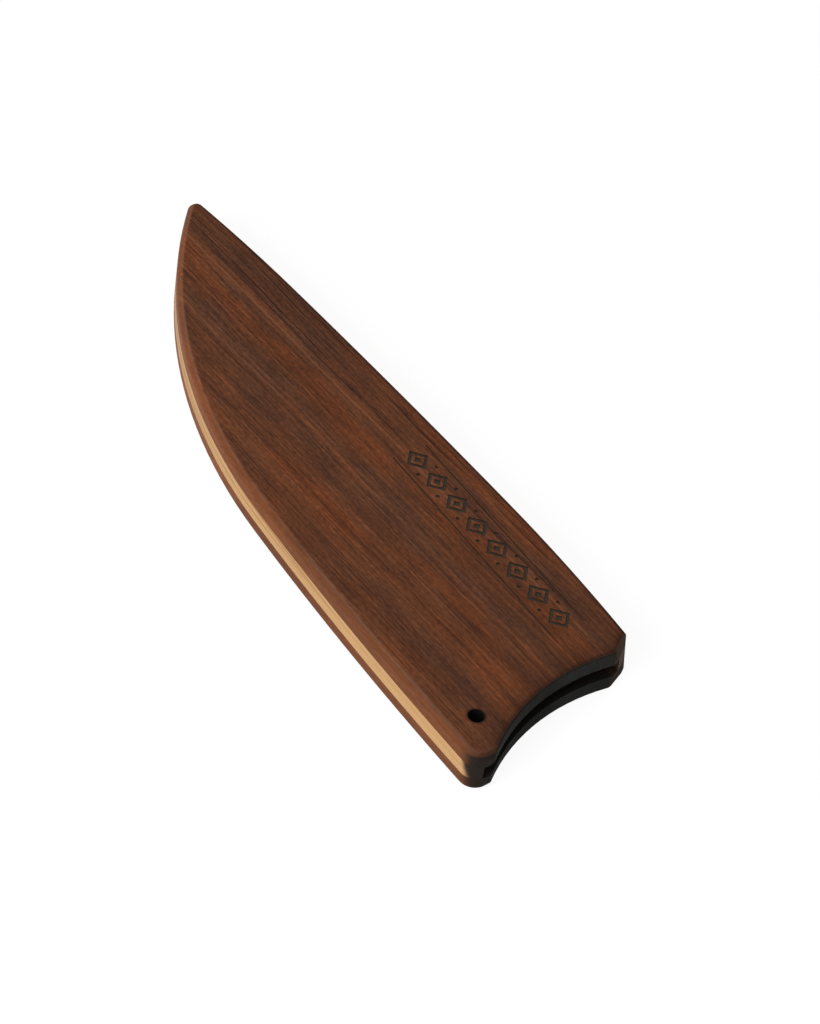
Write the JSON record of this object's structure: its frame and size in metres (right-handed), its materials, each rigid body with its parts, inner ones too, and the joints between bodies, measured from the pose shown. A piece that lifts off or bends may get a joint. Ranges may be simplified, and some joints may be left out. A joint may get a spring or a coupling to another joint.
{
  "type": "knife blade guard",
  "caption": "Flat wooden sheath for a wide chef's knife: two dark panels glued to a pale frame, magnets inside, a concave charred mouth and a small peg hole.",
  "frame": {"origin": "middle of the outline's box, on the back panel's outer face", "axes": "+X from the blade tip's end to the mouth, +Y from the cutting edge to the spine, +Z from the back panel to the front panel"},
  "size_m": [0.2198, 0.0674, 0.0144],
  "materials": {
    "dark_wood": "oiled dark brown, satin",
    "pale_wood": "oiled pale tan, satin",
    "magnet": "nickel plated"
  },
  "bodies": {
    "root": {"front_panel": "dark_wood", "core_frame": "pale_wood", "back_panel": "dark_wood", "front_magnet_heel": "magnet", "front_magnet_middle": "magnet", "front_magnet_tip": "magnet", "back_magnet_heel": "magnet", "back_magnet_middle": "magnet", "back_magnet_tip": "magnet"}
  },
  "joints": []
}
